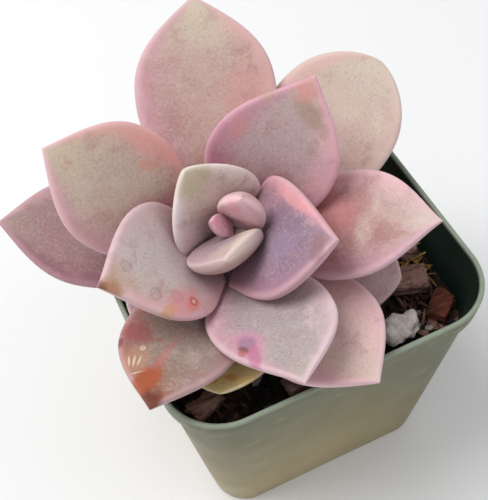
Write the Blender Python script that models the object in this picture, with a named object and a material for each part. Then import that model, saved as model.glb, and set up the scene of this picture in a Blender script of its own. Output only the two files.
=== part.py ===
"""A ghost-plant succulent in a square plastic nursery pot.

The frame has +Z up and its origin at the middle of the pot's underside, with the pot's
sides along X and Y. Sizes in the tables are in millimetres and are turned into metres
where a mesh is made.
"""

import math
from collections import namedtuple

import bmesh
import bpy
from mathutils import Matrix, Vector, noise
from mathutils.bvhtree import BVHTree

MM = 0.001
SEED = 11  # fixes the noise that roughens the loose pieces
GAP = 0.35  # clear space between two pieces that touch in life

# The pot: a 2.5 inch square nursery pot, 56 mm tall, tapering to its foot.
POT_HEIGHT = 56.0
POT_TOP_HALF = 31.75
POT_FOOT_HALF = 24.9
POT_TOP_CORNER = 10.9
POT_FOOT_CORNER = 7.6
POT_WALL = 1.1
POT_FLOOR = 1.4
BAND_HEIGHT = 4.6
BAND_STEP = 0.7
DRAIN_RADIUS = 3.6
DRAIN_OFFSET = 15.0

# The potting mix fills the pot to a little under the band.
MIX_LEVEL = 45.0
MIX_BUMP = 1.5
MIX_LUMP = 11.0  # size of the broad bumps
MIX_CRUMB = 4.5  # size of the small ones
MIX_RINGS = (1.0, 0.84, 0.68, 0.52, 0.36, 0.2)  # shares of the half width at which the top is shaped
MIX_CORNER = 1.5  # how much rounder than the pot the mix's corners are

# The rosette leans over the front left of the pot, on a short bare stem.
ROSETTE_CENTRE = Vector((-10.5, -1.5, 67.0))
LEAN = 22.0
LEAN_HEADING = -114.0
LEAF_STEP = 0.85
BURIED_STEM = 34.0
STEM_HOLE_RADIUS = 3.6
STEM_HOLE_DEPTH = 16.0
# The stem's radius at distances below the rosette's middle.
STEM_RUN = ((4.2, 0.5), (4.8, 1.0), (6.0, 1.5), (8.0, 2.0), (14.0, 2.6), (20.0, 3.0),
            (BURIED_STEM - 1.0, 2.6), (BURIED_STEM, 1.4))

# How finely a leaf is divided: sides round its section, and rings from base to tip.
SIDES = 20
RINGS = 15

# How one leaf is pressed clear of those above it.
REACH = 30.0  # how far above a leaf its neighbours are looked for
SOFTENING = 16  # rounds of smoothing where a leaf gives way
SWELL = 1.1  # clear space kept round a leaf when the next one is pressed under it
PRESSES = 2  # times a leaf is pressed, as the first settles it into new places
RAY_STEP = 0.01  # how far past one surface the search for the next begins

BUD_RANKS = 4  # the heart's leaves, flatter above and rounder below than the others
BUD_TOP_SHARE = 0.25
TOP_SHARE = 0.4

Leaf = namedtuple(
    "Leaf",
    "azimuth sweep lift curl roll length width base aside neck widest skew point thick cup",
)

# The leaves from the heart outwards, each about 137 degrees round from the one before.
# azimuth, sweep, lift above the rosette's plane, curl and roll are in degrees. sweep is
# how far the leaf bends sideways from foot to tip. base and aside place its foot, outwards
# and sideways from the axis. neck is the foot's share of the width, widest is where along
# the leaf it is widest, and skew how much nearer the foot that is on its left side than on
# its right. point is how sharp the tip is, with a minus where it is blunt, thick is the
# thickness as a share of the width, and cup is how far the margins stand up.
LEAVES = (
    Leaf(188, 0, 64, 14, 0, 7.2, 4.2, -1.8, 0.0, 0.85, 0.40, 0.00, 0.00, 0.50, 0.05),
    Leaf(76, 0, 76, 14, 0, 10.8, 8.8, 1.0, -3.2, 0.85, 0.42, 0.00, 0.00, 0.46, 0.05),
    Leaf(284, 0, 50, 14, 18, 14.6, 14.2, -1.5, -0.9, 0.75, 0.36, 0.00, 0.00, 0.38, 0.05),
    Leaf(134, 0, 50, 16, 0, 16.2, 19.4, -0.9, -1.7, 0.95, 0.22, 0.00, -0.25, 0.22, 0.08),
    Leaf(339, 0, 42, 12, 5, 25.0, 23.0, 1.8, 1.2, 0.85, 0.30, 0.12, 0.10, 0.22, 0.12),
    Leaf(211, 0, 41, 0, -10, 28.6, 22.5, 1.0, 0.8, 0.60, 0.38, 0.00, 0.35, 0.22, 0.12),
    Leaf(53, 0, 38, 10, 10, 31.5, 23.5, 3.2, -0.6, 0.60, 0.40, 0.04, 0.30, 0.20, 0.12),
    Leaf(295, -3, 34, 10, 0, 34.0, 21.6, 3.2, 0.4, 0.40, 0.48, -0.08, 0.40, 0.18, 0.12),
    Leaf(157, 0, 34, 5, -8, 34.0, 23.5, 3.2, 0.0, 0.25, 0.52, 0.00, 0.20, 0.20, 0.12),
    Leaf(4, -14, 21, 5, -10, 37.0, 21.5, 3.3, 0.0, 0.25, 0.52, 0.00, 0.45, 0.20, 0.12),
    Leaf(248, 4, 32, 10, 5, 35.5, 20.6, 3.3, 0.0, 0.25, 0.50, 0.03, 0.30, 0.18, 0.12),
    Leaf(95, 0, 16, 18, 8, 43.3, 27.0, 3.4, 0.0, 0.24, 0.55, 0.00, 0.05, 0.18, 0.12),
    Leaf(312, 0, 23, 15, -10, 37.5, 22.5, 3.4, 0.0, 0.24, 0.55, 0.00, 0.25, 0.20, 0.12),
    Leaf(175, 0, 16, 15, 6, 38.5, 21.5, 3.5, 0.0, 0.24, 0.52, 0.00, 0.20, 0.20, 0.12),
    Leaf(46, 0, 13, 18, 0, 42.0, 26.0, 3.5, 0.0, 0.24, 0.58, 0.00, -0.40, 0.18, 0.12),
    Leaf(232, 0, 32, 12, 0, 23.0, 18.5, 3.6, 0.0, 0.24, 0.55, 0.00, 0.30, 0.12, 0.12),
    Leaf(136, 0, 10, 15, 0, 30.0, 20.0, 3.6, 0.0, 0.24, 0.55, 0.00, 0.20, 0.18, 0.12),
    Leaf(346, 0, 8, 15, 0, 30.0, 20.0, 3.7, 0.0, 0.24, 0.55, 0.00, -0.30, 0.18, 0.12),
    Leaf(268, 0, 34, 0, 0, 29.0, 19.0, 4.4, 0.0, 0.24, 0.58, 0.00, -0.30, 0.10, 0.12),
    Leaf(80, 0, 4, 15, 0, 30.0, 20.0, 3.8, 0.0, 0.24, 0.55, 0.00, 0.20, 0.18, 0.12),
)

Chip = namedtuple("Chip", "x y length width height yaw pitch seed")

# Loose pieces on the mix. Bark is flat and angular, pumice is round and pale.
BARK = (
    Chip(20.5, -14.5, 10.5, 5.2, 2.8, -18, 6, 3),
    Chip(24.2, -22.6, 5.4, 3.8, 2.6, 40, -8, 5),
    Chip(25.5, -7.0, 8.0, 3.6, 2.4, 75, 10, 8),
    Chip(4.5, -22.5, 6.0, 3.4, 2.0, 15, 6, 13),
    Chip(-24.5, -21.5, 6.0, 3.6, 1.8, 20, 4, 21),
    Chip(-7.0, -25.0, 6.5, 3.4, 2.4, 8, -10, 34),
    Chip(20.0, 14.0, 9.5, 5.0, 3.0, 62, 6, 55),
    Chip(3.0, 23.0, 8.5, 4.6, 2.8, -25, -6, 89),
    Chip(-22.5, 16.0, 8.0, 4.2, 2.6, 100, 8, 144),
)
PUMICE = (
    Chip(14.5, -23.6, 9.6, 6.0, 3.6, 14, 0, 2),
    Chip(26.0, 4.0, 5.2, 4.4, 3.8, 50, 0, 7),
    Chip(13.0, 24.0, 5.4, 4.4, 3.8, 20, 0, 11),
    Chip(-13.0, 24.0, 4.6, 4.0, 3.4, 75, 0, 17),
    Chip(-26.0, 2.0, 4.8, 3.8, 3.4, 35, 0, 29),
)

COLOURS = {
    "pot_plastic": ((0.17, 0.18, 0.11), 0.45),
    "potting_mix": ((0.045, 0.028, 0.018), 0.95),
    "bark": ((0.16, 0.085, 0.055), 0.85),
    "pumice": ((0.60, 0.57, 0.52), 0.90),
    "stem": ((0.20, 0.15, 0.08), 0.75),
    "leaf": ((0.55, 0.34, 0.34), 0.60),
}


def clear_scene():
    for thing in list(bpy.data.objects):
        bpy.data.objects.remove(thing)


def material_of(finish):
    """One Principled material for each finish, made the first time it is asked for."""
    found = bpy.data.materials.get(finish)
    if found:
        return found
    colour, roughness = COLOURS[finish]
    made = bpy.data.materials.new(finish)
    made.use_nodes = True
    shader = made.node_tree.nodes["Principled BSDF"]
    shader.inputs["Base Color"].default_value = (*colour, 1.0)
    shader.inputs["Roughness"].default_value = roughness
    shader.inputs["Metallic"].default_value = 0.0
    return made


def add_object(name, data, finish):
    thing = bpy.data.objects.new(name, data)
    bpy.context.scene.collection.objects.link(thing)
    if finish:
        data.materials.append(material_of(finish))
    return thing


def add_mesh(name, shape, finish, smooth=True):
    """Turns a bmesh in millimetres into a named object in metres."""
    bmesh.ops.scale(shape, vec=(MM, MM, MM), verts=shape.verts)
    bmesh.ops.recalc_face_normals(shape, faces=shape.faces)
    data = bpy.data.meshes.new(name)
    shape.to_mesh(data)
    shape.free()
    if smooth:
        data.shade_smooth()
        data.set_sharp_from_angle(angle=math.radians(40))
    return add_object(name, data, finish)


def rounded_square(half, corner, corner_steps, side_steps):
    """The points of a square with round corners, anticlockwise from the middle of +X."""
    points = []
    for quarter in range(4):
        spin = Matrix.Rotation(math.radians(90 * quarter), 2)
        flat = half - corner
        for step in range(side_steps):
            points.append(spin @ Vector((half, -flat + 2 * flat * step / side_steps)))
        for step in range(corner_steps):
            turn = math.radians(90 * step / corner_steps)
            points.append(spin @ Vector((flat + corner * math.cos(turn), flat + corner * math.sin(turn))))
    return points


def add_loop(shape, points, height):
    """A closed loop of edges through flat points. height is a number or a function of x and y."""
    level = height if callable(height) else lambda x, y: height
    verts = [shape.verts.new((p.x, p.y, level(p.x, p.y))) for p in points]
    return [shape.edges.new((a, b)) for a, b in zip(verts, verts[1:] + verts[:1])]


def skin_loops(shape, loops):
    """Closes a stack of loops with walls between them and a flat face at each end."""
    for lower, upper in zip(loops, loops[1:]):
        bmesh.ops.bridge_loops(shape, edges=lower + upper)
    bmesh.ops.edgeloop_fill(shape, edges=loops[0])
    bmesh.ops.edgeloop_fill(shape, edges=loops[-1])


def cut(target, cutter):
    cutter.hide_render = True
    cutter.display_type = "WIRE"
    boolean = target.modifiers.new(cutter.name, "BOOLEAN")
    boolean.operation = "DIFFERENCE"
    boolean.solver = "EXACT"
    boolean.object = cutter


def pot_half(height):
    """Half the pot's outside width at a height, below the band."""
    return POT_FOOT_HALF + (POT_TOP_HALF - BAND_STEP - POT_FOOT_HALF) * height / POT_HEIGHT


def pot_corner(height):
    return POT_FOOT_CORNER + (POT_TOP_CORNER - POT_FOOT_CORNER) * height / POT_HEIGHT


def build_pot():
    """One moulded shell: foot, tapered wall, stepped band, rolled rim, and four drain holes."""
    band = POT_HEIGHT - BAND_HEIGHT
    top = POT_TOP_HALF
    profile = (
        (POT_FOOT_HALF - 0.5, 0.0),
        (POT_FOOT_HALF, 0.5),
        (pot_half(band), band),
        (top - 0.35, band + 0.4),
        (top, POT_HEIGHT - 0.5),
        (top - 0.35, POT_HEIGHT),
        (top - 1.05, POT_HEIGHT),
        (top - 1.3, POT_HEIGHT - 0.4),
        (pot_half(band) - POT_WALL, band),
        (pot_half(POT_FLOOR) - POT_WALL, POT_FLOOR),
    )
    shape = bmesh.new()
    loops = []
    for half, height in profile:
        # The corner's centre stays put through the wall, so the wall keeps its thickness.
        corner = pot_corner(height) - (max(pot_half(height), POT_FOOT_HALF) - half)
        loops.append(add_loop(shape, rounded_square(half, corner, 7, 1), height))
    skin_loops(shape, loops)
    pot = add_mesh("pot", shape, "pot_plastic")
    for number, (x, y) in enumerate(((1, 1), (-1, 1), (-1, -1), (1, -1)), start=1):
        drill = bmesh.new()
        place = Matrix.Translation((DRAIN_OFFSET * x, DRAIN_OFFSET * y, 0))
        bmesh.ops.create_cone(drill, cap_ends=True, segments=16, radius1=DRAIN_RADIUS,
                              radius2=DRAIN_RADIUS, depth=4 * POT_FLOOR, matrix=place)
        cut(pot, add_mesh(f"drain_cutter_{number}", drill, None))
    return pot


def mix_height(x, y):
    """The uneven top of the potting mix."""
    broad = noise.noise(Vector((x / MIX_LUMP, y / MIX_LUMP, 0.3)))
    fine = noise.noise(Vector((x / MIX_CRUMB, y / MIX_CRUMB, 7.1)))
    return MIX_LEVEL + MIX_BUMP * (broad + 0.45 * fine)


def stem_axis():
    """The direction in which the rosette faces, which the stem follows down into the mix."""
    lean = math.radians(LEAN)
    heading = math.radians(LEAN_HEADING)
    return Vector((math.sin(lean) * math.cos(heading), math.sin(lean) * math.sin(heading), math.cos(lean)))


def build_mix():
    """The root ball: a block that fits the pot, with a bumpy top and a hole where the stem goes in."""
    shape = bmesh.new()
    loops = []
    floor = POT_FLOOR + GAP
    for height in (floor, MIX_LEVEL / 2):
        half = pot_half(height) - POT_WALL - GAP
        loops.append(add_loop(shape, rounded_square(half, pot_corner(height) - MIX_CORNER, 4, 5), height))
    edge = pot_half(MIX_LEVEL) - POT_WALL - 1.5 * GAP
    for share in MIX_RINGS:
        outline = rounded_square(edge * share, (pot_corner(MIX_LEVEL) - MIX_CORNER) * share, 4, 5)
        loops.append(add_loop(shape, outline, mix_height))
    skin_loops(shape, loops)
    mix = add_mesh("potting_mix", shape, "potting_mix", smooth=False)
    axis = stem_axis()
    hole = bmesh.new()
    middle = ROSETTE_CENTRE - axis * (BURIED_STEM - STEM_HOLE_DEPTH / 2)
    place = Matrix.Translation(middle) @ axis.to_track_quat("Z", "Y").to_matrix().to_4x4()
    bmesh.ops.create_cone(hole, cap_ends=True, segments=16, radius1=STEM_HOLE_RADIUS,
                          radius2=STEM_HOLE_RADIUS, depth=STEM_HOLE_DEPTH + 2 * GAP, matrix=place)
    cut(mix, add_mesh("stem_hole_cutter", hole, None))
    return mix


def build_stem():
    """The woody stem, thin at the growing point and thicker where it meets the mix."""
    axis = stem_axis()
    data = bpy.data.curves.new("stem", "CURVE")
    data.dimensions = "3D"
    data.bevel_depth = MM
    data.bevel_resolution = 2
    data.use_fill_caps = True
    spline = data.splines.new("POLY")
    spline.points.add(len(STEM_RUN) - 1)
    for point, (below, radius) in zip(spline.points, STEM_RUN):
        point.co = (*((ROSETTE_CENTRE - axis * below) * MM), 1.0)
        point.radius = radius
    return add_object("stem", data, "stem")


def half_width(leaf, t, side=0):
    """Half the leaf's width at t, 0 at its foot and 1 at its tip. side is 1 on the left, -1 on the right."""
    widest = leaf.widest - leaf.skew * side
    if t < widest:
        swell = math.sin(math.pi / 2 * t / widest) ** 1.5
        return leaf.width / 2 * (leaf.neck + (1 - leaf.neck) * swell)
    s = ((t - widest) / (1 - widest)) ** (0.6 + 1.5 * widest)
    closing = max(0.0, math.cos(math.pi / 2 * s)) ** (1 + min(0.0, leaf.point))
    return leaf.width / 2 * closing * (1 - max(0.0, leaf.point) * s**3)


def depth(leaf, t):
    """The leaf's thickness at t: thinner at the foot, full in the middle, rounded off at the tip."""
    body = 0.55 + 0.45 * math.sin(math.pi / 2 * min(1.0, t / 0.45))
    if t > leaf.widest:
        body *= max(0.0, half_width(leaf, t) / (leaf.width / 2)) ** 0.5
    return leaf.thick * leaf.width * body


def blade(leaf, rank):
    """The leaf's surface as rings of points, and the direction of its underside at each ring."""
    axis = stem_axis()
    across = Vector((-axis.y, axis.x, 0)).normalized()
    up = axis.cross(across)
    roll = math.radians(leaf.roll)
    top_share = BUD_TOP_SHARE if rank < BUD_RANKS else TOP_SHARE
    spot = None
    rings, unders = [], []
    t = 0.0
    for ring in range(RINGS + 1):
        ahead = 0.5 - 0.5 * math.cos(math.pi * ring / RINGS)
        azimuth = math.radians(leaf.azimuth + leaf.sweep * ahead)
        out = across * math.cos(azimuth) + up * math.sin(azimuth)
        side = axis.cross(out)
        if spot is None:
            spot = ROSETTE_CENTRE - axis * (LEAF_STEP * rank - 0.5) + out * leaf.base + side * leaf.aside
        rise = math.radians(leaf.lift + leaf.curl * ((t + ahead) / 2 - 0.5))
        spot = spot + (out * math.cos(rise) + axis * math.sin(rise)) * leaf.length * (ahead - t)
        t = ahead
        rise = math.radians(leaf.lift + leaf.curl * (t - 0.5))
        face = axis * math.cos(rise) - out * math.sin(rise)
        level = side * math.cos(roll) + face * math.sin(roll)
        face = face * math.cos(roll) - side * math.sin(roll)
        deep = depth(leaf, t)
        row = []
        for column in range(SIDES):
            turn = 2 * math.pi * column / SIDES
            wide = half_width(leaf, t, max(-1, min(1, 3 * math.cos(turn))))
            bulge = math.copysign(abs(math.sin(turn)) ** 0.65, math.sin(turn))
            bulge *= deep * (top_share if bulge > 0 else 1 - top_share)
            bulge += leaf.cup * wide * math.cos(turn) ** 2
            row.append(spot + level * wide * math.cos(turn) + face * bulge)
        rings.append(row)
        unders.append(-face)
    return rings, unders


def crossing(tree, start, way):
    """How far along a straight line a body starts and ends, or None where the line misses it."""
    spans = []
    spot = start
    while True:
        hit = tree.ray_cast(spot, way, 2 * REACH)[0]
        if hit is None:
            return (spans[0], spans[-1]) if spans else None
        spans.append((hit - start).length)
        spot = hit + way * RAY_STEP


def press_clear(rings, unders, above):
    """Sinks a leaf, its whole thickness at a time, until it lies clear under the leaves above it."""
    half = SIDES // 2
    needed = []
    for row, under in zip(rings, unders):
        needs = []
        for column in range(half + 1):
            top, bottom = row[column], row[-column % SIDES]
            start = top - under * REACH
            found = [crossing(tree, start, under) for tree in above]
            deep = REACH + (bottom - top).length + GAP
            needs.append(max([0.0] + [span[1] - REACH for span in found if span and span[0] < deep]))
        needed.append(needs)
    for row in (0, -1):
        needed[row] = [max(needed[row])] * (half + 1)
    sunk = needed
    for _ in range(SOFTENING):
        soft = []
        for ring, row in enumerate(sunk):
            before = sunk[max(ring - 1, 0)]
            after = sunk[min(ring + 1, RINGS)]
            soft.append([])
            for column in range(half + 1):
                left, right = row[max(column - 1, 0)], row[min(column + 1, half)]
                mean = (before[column] + after[column] + left + right) / 4
                soft[-1].append(max(needed[ring][column], mean))
        for row in (0, -1):
            soft[row] = [max(soft[row])] * (half + 1)
        sunk = soft
    for ring, row in enumerate(rings):
        for column in range(SIDES):
            fall = sunk[ring][min(column, SIDES - column)]
            row[column] = row[column] + unders[ring] * fall


def leaf_mesh(rings):
    """A unit ball drawn out into the leaf: its poles become the foot and the tip."""
    shape = bmesh.new()
    bmesh.ops.create_uvsphere(shape, u_segments=SIDES, v_segments=RINGS, radius=1)
    for vert in shape.verts:
        ring = round(math.acos(max(-1.0, min(1.0, -vert.co.z))) / math.pi * RINGS)
        column = round(math.atan2(vert.co.y, vert.co.x) / (2 * math.pi) * SIDES) % SIDES
        if ring in (0, RINGS):
            vert.co = sum(rings[ring], Vector()) / SIDES
        else:
            vert.co = rings[ring][column]
    bmesh.ops.recalc_face_normals(shape, faces=shape.faces)
    return shape


def build_leaves():
    """The rosette, from the heart outwards: each leaf is pressed clear of those above it."""
    above = []
    for rank, leaf in enumerate(LEAVES):
        rings, unders = blade(leaf, rank)
        for _ in range(PRESSES):
            press_clear(rings, unders, above)
        swollen = leaf_mesh(rings)
        swollen.normal_update()
        for vert in swollen.verts:
            vert.co = vert.co + vert.normal * SWELL
        above.append(BVHTree.FromBMesh(swollen))
        swollen.free()
        add_mesh(f"leaf_{rank + 1:02d}", leaf_mesh(rings), "leaf")


def rest_on(shape, ground):
    """Lowers a loose piece until its nearest point is GAP above the ground."""
    piece_tree, ground_tree = BVHTree.FromBMesh(shape), BVHTree.FromBMesh(ground)
    drops = []
    for vert in shape.verts:
        hit = ground_tree.ray_cast(vert.co, Vector((0, 0, -1)))[0]
        if hit:
            drops.append(vert.co.z - hit.z)
    for vert in ground.verts:
        hit = piece_tree.ray_cast(vert.co, Vector((0, 0, 1)))[0]
        if hit:
            drops.append(hit.z - vert.co.z)
    bmesh.ops.translate(shape, vec=(0, 0, GAP - min(drops)), verts=shape.verts)


def build_loose_pieces(mix):
    """Bark chips and pumice grit that lie on top of the mix."""
    ground = bmesh.new()
    ground.from_mesh(mix.data)
    bmesh.ops.scale(ground, vec=(1 / MM, 1 / MM, 1 / MM), verts=ground.verts)
    for kind, chips in (("bark", BARK), ("pumice", PUMICE)):
        for number, chip in enumerate(chips, start=1):
            shape = bmesh.new()
            if kind == "bark":
                bmesh.ops.create_cube(shape, size=1)
                bmesh.ops.subdivide_edges(shape, edges=shape.edges, cuts=1, use_grid_fill=True)
                rough = 0.16
            else:
                bmesh.ops.create_icosphere(shape, subdivisions=2, radius=0.5)
                rough = 0.12
            for vert in shape.verts:
                shift = noise.noise_vector(vert.co * 2.3 + Vector((chip.seed, 0, 0)))
                vert.co = vert.co + shift * rough
            size = Matrix.Diagonal((chip.length, chip.width, chip.height))
            turn = Matrix.Rotation(math.radians(chip.yaw), 3, "Z")
            tip = Matrix.Rotation(math.radians(chip.pitch), 3, "Y")
            bmesh.ops.transform(shape, matrix=(turn @ tip @ size).to_4x4(), verts=shape.verts)
            bmesh.ops.translate(shape, vec=(chip.x, chip.y, POT_HEIGHT), verts=shape.verts)
            rest_on(shape, ground)
            add_mesh(f"{kind}_{number}", shape, kind, smooth=False)
    ground.free()


clear_scene()
noise.seed_set(SEED)
build_pot()
potting_mix = build_mix()
build_stem()
build_leaves()
build_loose_pieces(potting_mix)
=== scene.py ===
"""A pink rosette succulent in a square nursery pot, dressed over its CAD frame."""

import math
import random
from collections import namedtuple

import bmesh
import bpy
import numpy as np
from mathutils import Matrix, Quaternion, Vector, noise
from mathutils.bvhtree import BVHTree


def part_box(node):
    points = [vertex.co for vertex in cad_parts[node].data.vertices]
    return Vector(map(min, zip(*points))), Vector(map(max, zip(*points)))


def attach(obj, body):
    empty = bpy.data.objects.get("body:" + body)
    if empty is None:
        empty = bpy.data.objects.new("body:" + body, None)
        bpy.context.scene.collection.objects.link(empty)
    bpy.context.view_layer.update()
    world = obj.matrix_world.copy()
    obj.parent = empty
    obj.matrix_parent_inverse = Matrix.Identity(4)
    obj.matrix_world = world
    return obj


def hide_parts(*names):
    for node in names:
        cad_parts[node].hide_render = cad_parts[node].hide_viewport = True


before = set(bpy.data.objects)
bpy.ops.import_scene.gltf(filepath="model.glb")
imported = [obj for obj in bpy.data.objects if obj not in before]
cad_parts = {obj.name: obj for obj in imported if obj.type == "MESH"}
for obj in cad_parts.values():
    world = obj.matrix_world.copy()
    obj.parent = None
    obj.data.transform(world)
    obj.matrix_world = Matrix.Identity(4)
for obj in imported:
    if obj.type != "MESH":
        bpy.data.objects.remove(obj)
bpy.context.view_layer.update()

# ---------------------------------------------------------------------------------------
# The pot. One thin moulding in recycled plastic, green at the rim and faded to olive: a
# foot, a tapered wall, a stepped band and a rolled rim, with four drain holes punched
# through the floor.

MM = 0.001  # one mm in metres: meshes are made in mm, and patterns are read in metres
POT_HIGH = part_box("pot")[1]
POT_HEIGHT = POT_HIGH.z / MM
POT_TOP_HALF = POT_HIGH.x / MM
POT_FOOT_HALF = 24.9
POT_TOP_CORNER, POT_FOOT_CORNER = 10.9, 7.6
POT_WALL, POT_FLOOR = 1.1, 1.4
FOOT_INSET, FOOT_ROUND = 1.2, 0.7
BAND_HEIGHT, BAND_STEP, BAND_WALL = 4.6, 0.7, 1.35
RIM_ROUND = 0.5
DRAIN_RADIUS, DRAIN_OFFSET, DRAIN_SIDES = 3.6, 15.0, 40
CORNER_STEPS = 14
POT_SIDE_STEPS = 6
POT_CREASE = 35  # degrees between two faces from which their edge is sharp


def srgb(red, green, blue):
    """A colour as the eye names it, 0 to 255 a channel, in the light's own linear scale."""
    return tuple(((c / 255 + 0.055) / 1.055) ** 2.4 for c in (red, green, blue)) + (1.0,)


def add_node(tree, kind, inputs=None, **settings):
    """Adds a shader node with its settings, and sets or links its inputs."""
    made = tree.nodes.new(kind)
    for key, value in settings.items():
        setattr(made, key, value)
    for key, value in (inputs or {}).items():
        if isinstance(value, bpy.types.NodeSocket):
            tree.links.new(value, made.inputs[key])
        else:
            made.inputs[key].default_value = value
    return made


def mix_colour(tree, share, below, above):
    """One colour laid over another: share is how much of the upper one shows."""
    mixer = add_node(tree, "ShaderNodeMix", {0: share, 6: below, 7: above}, data_type="RGBA")
    return mixer.outputs[2]


def remap(tree, value, low, high, to_low=0.0, to_high=1.0):
    """A smooth step from one range of values to another."""
    inputs = {
        "Value": value, "From Min": low, "From Max": high, "To Min": to_low, "To Max": to_high,
    }
    return add_node(tree, "ShaderNodeMapRange", inputs, interpolation_type="SMOOTHSTEP").outputs[0]


def mottle(tree, place, scale, detail=4.0, roughness=0.55, distortion=0.0):
    """Cloudy noise on a place in metres, one value for each point."""
    inputs = {
        "Vector": place, "Scale": scale, "Detail": detail, "Roughness": roughness,
        "Distortion": distortion,
    }
    return add_node(tree, "ShaderNodeTexNoise", inputs).outputs["Fac"]


def arithmetic(tree, operation, first, second):
    """One sum on two values, such as ADD or MULTIPLY."""
    return add_node(tree, "ShaderNodeMath", {0: first, 1: second}, operation=operation).outputs[0]


def new_material(name):
    """A material with only its Principled shader and output, and the place of each point on it."""
    made = bpy.data.materials.new(name)
    made.use_nodes = True
    tree = made.node_tree
    shader = tree.nodes["Principled BSDF"]
    place = add_node(tree, "ShaderNodeTexCoord").outputs["Object"]
    return made, tree, shader, place


def finish_surface(tree, shader, colour, roughness, height, depth, strength=1.0):
    """Joins colour, roughness and a bump of the given depth in metres to the shader."""
    tree.links.new(colour, shader.inputs["Base Color"])
    if isinstance(roughness, bpy.types.NodeSocket):
        tree.links.new(roughness, shader.inputs["Roughness"])
    else:
        shader.inputs["Roughness"].default_value = roughness
    relief = {"Height": height, "Distance": depth, "Strength": strength}
    bump = add_node(tree, "ShaderNodeBump", relief)
    tree.links.new(bump.outputs[0], shader.inputs["Normal"])


def add_piece(name, shape, material, nodes=(), crease=None):
    """Turns a bmesh in mm into a finished piece that rides on root and stands for its CAD nodes."""
    bmesh.ops.scale(shape, vec=(MM, MM, MM), verts=shape.verts)
    data = bpy.data.meshes.new(name)
    shape.to_mesh(data)
    shape.free()
    data.shade_smooth()
    if crease:
        data.set_sharp_from_angle(angle=math.radians(crease))
    data.materials.append(material)
    piece = bpy.data.objects.new(name, data)
    bpy.context.scene.collection.objects.link(piece)
    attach(piece, "root")
    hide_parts(*nodes)
    return piece


def rounded_square(half, corner, corner_steps, side_steps):
    """The points of a square with round corners, anticlockwise from the +X side."""
    points = []
    flat = half - corner
    for quarter in range(4):
        spin = Matrix.Rotation(math.radians(90 * quarter), 2)
        for step in range(side_steps):
            points.append(spin @ Vector((half, -flat + 2 * flat * step / side_steps)))
        for step in range(corner_steps):
            turn = math.radians(90 * step / corner_steps)
            round_point = Vector((flat + corner * math.cos(turn), flat + corner * math.sin(turn)))
            points.append(spin @ round_point)
    return points


def add_loop(shape, points, level):
    """A closed loop of edges. level gives the height at x and y."""
    verts = [shape.verts.new((p.x, p.y, level(p.x, p.y))) for p in points]
    return [shape.edges.new(pair) for pair in zip(verts, verts[1:] + verts[:1])]


def skin_loops(shape, loops):
    """Walls between a stack of loops, with a flat face at each end."""
    for lower, upper in zip(loops, loops[1:]):
        bmesh.ops.bridge_loops(shape, edges=lower + upper)
    bmesh.ops.edgeloop_fill(shape, edges=loops[0])
    bmesh.ops.edgeloop_fill(shape, edges=loops[-1])
    bmesh.ops.recalc_face_normals(shape, faces=shape.faces)


def pot_half(height):
    """Half the pot's outside width at a height, below the band."""
    return POT_FOOT_HALF + (POT_TOP_HALF - BAND_STEP - POT_FOOT_HALF) * height / POT_HEIGHT


def pot_corner(height):
    """The radius of the pot's upright corners at a height."""
    return POT_FOOT_CORNER + (POT_TOP_CORNER - POT_FOOT_CORNER) * height / POT_HEIGHT


def pot_profile():
    """The wall's section from the foot's underside, over the rim and down to the floor inside."""
    band = POT_HEIGHT - BAND_HEIGHT
    # The flat underside and the rounded edge of the foot.
    points = [(POT_FOOT_HALF - FOOT_INSET, 0.0)]
    for step in range(5):
        turn = math.radians(90 * step / 4)
        outwards = POT_FOOT_HALF - FOOT_ROUND + FOOT_ROUND * math.sin(turn)
        points.append((outwards, FOOT_ROUND - FOOT_ROUND * math.cos(turn)))
    # The tapered wall, and the soft step out to the band.
    for height in (band * 0.25, band * 0.5, band * 0.75, band - 0.15):
        points.append((pot_half(height), height))
    points.append((pot_half(band) + 0.12, band))
    points.append((POT_TOP_HALF - 0.42, band + 0.22))
    points.append((POT_TOP_HALF - 0.3, band + 0.6))
    # Over the rim, and down the inside to the rounded edge of the floor.
    for step in range(7):
        turn = math.radians(180 * step / 6)
        outwards = POT_TOP_HALF - RIM_ROUND + RIM_ROUND * math.cos(turn)
        points.append((outwards, POT_HEIGHT - RIM_ROUND + RIM_ROUND * math.sin(turn)))
    points.append((POT_TOP_HALF - BAND_WALL, band + 0.9))
    points.append((pot_half(band) - POT_WALL, band - 0.2))
    for height in (band * 0.66, band * 0.33, POT_FLOOR + 0.8):
        points.append((pot_half(height) - POT_WALL, height))
    points.append((pot_half(POT_FLOOR) - POT_WALL - 0.8, POT_FLOOR))
    return points


pot_shape = bmesh.new()
pot_loops = []
for half, height in pot_profile():
    corner = pot_corner(height) - (pot_half(height) - half)
    outline = rounded_square(half, corner, CORNER_STEPS, POT_SIDE_STEPS)
    pot_loops.append(add_loop(pot_shape, outline, lambda x, y: height))
skin_loops(pot_shape, pot_loops)

drill_shape = bmesh.new()
for side_x in (-1, 1):
    for side_y in (-1, 1):
        place = Matrix.Translation((DRAIN_OFFSET * side_x, DRAIN_OFFSET * side_y, 0))
        bmesh.ops.create_cone(drill_shape, cap_ends=True, segments=DRAIN_SIDES,
                              radius1=DRAIN_RADIUS, radius2=DRAIN_RADIUS,
                              depth=4 * POT_FLOOR, matrix=place)


def cut_holes(shape, drill):
    """Punches the drill out of the shape and gives the cut mesh back."""
    blanks = []
    for solid in (shape, drill):
        data = bpy.data.meshes.new("blank")
        solid.to_mesh(data)
        solid.free()
        blanks.append(bpy.data.objects.new("blank", data))
        bpy.context.scene.collection.objects.link(blanks[-1])
    punch = blanks[0].modifiers.new("holes", "BOOLEAN")
    punch.operation = "DIFFERENCE"
    punch.object = blanks[1]
    graph = bpy.context.evaluated_depsgraph_get()
    punched = bmesh.new()
    punched.from_mesh(blanks[0].evaluated_get(graph).to_mesh())
    for blank in blanks:
        bpy.data.objects.remove(blank)
    return punched


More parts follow.
